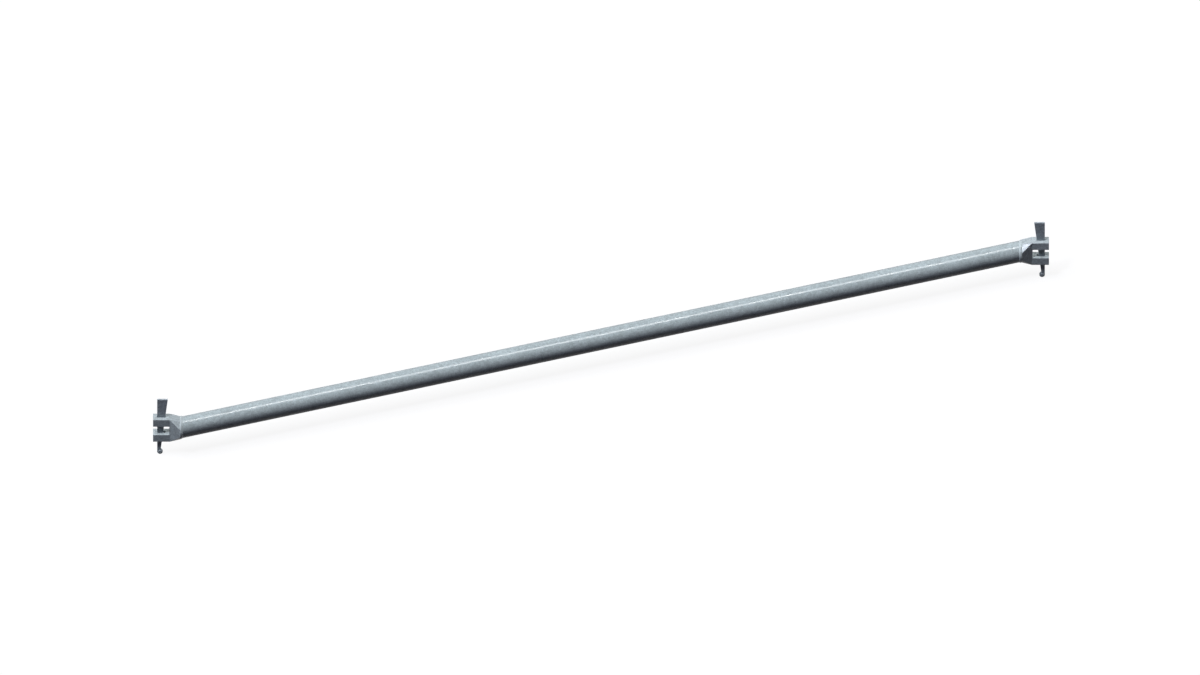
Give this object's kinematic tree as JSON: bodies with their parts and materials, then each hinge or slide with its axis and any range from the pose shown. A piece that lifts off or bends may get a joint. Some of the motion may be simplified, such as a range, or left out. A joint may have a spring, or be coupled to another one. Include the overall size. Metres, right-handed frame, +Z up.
{
  "type": "scaffold diagonal brace",
  "caption": "Horizontal scaffold brace: a galvanised tube with a slotted wedge head at each end, set to cross a bay corner to corner, and captive wedges that lock onto the uprights' rings.",
  "frame": {"origin": "middle of the tube, on its axis and on the mid-plane of both heads' ring gaps", "axes": "+X along the direction both heads point, from the left head to the right; +Y across the bay towards the right head's upright; +Z up, the way the wedges lift"},
  "size_m": [2.0236, 0.7876, 0.1455],
  "materials": {
    "galvanised_tube": "hot-dip galvanised, satin with a fine mottle",
    "galvanised_casting": "hot-dip galvanised casting, satin",
    "wedge_steel": "galvanised flat steel, satin",
    "rivet_steel": "galvanised, satin",
    "weld_bead": "galvanised weld bead, bright"
  },
  "bodies": {
    "brace": {"brace_tube": "galvanised_tube", "left_head": "galvanised_casting", "right_head": "galvanised_casting", "left_weld": "weld_bead", "right_weld": "weld_bead"},
    "left_wedge_body": {"left_wedge": "wedge_steel", "left_wedge_rivet": "rivet_steel"},
    "right_wedge_body": {"right_wedge": "wedge_steel", "right_wedge_rivet": "rivet_steel"}
  },
  "joints": [
    {"name": "left_wedge_lift", "type": "slide", "parent": "brace", "child": "left_wedge_body", "axis": [0, 0, 1], "range_m": [0, 0.068]},
    {"name": "right_wedge_lift", "type": "slide", "parent": "brace", "child": "right_wedge_body", "axis": [0, 0, 1], "range_m": [0, 0.068]}
  ]
}
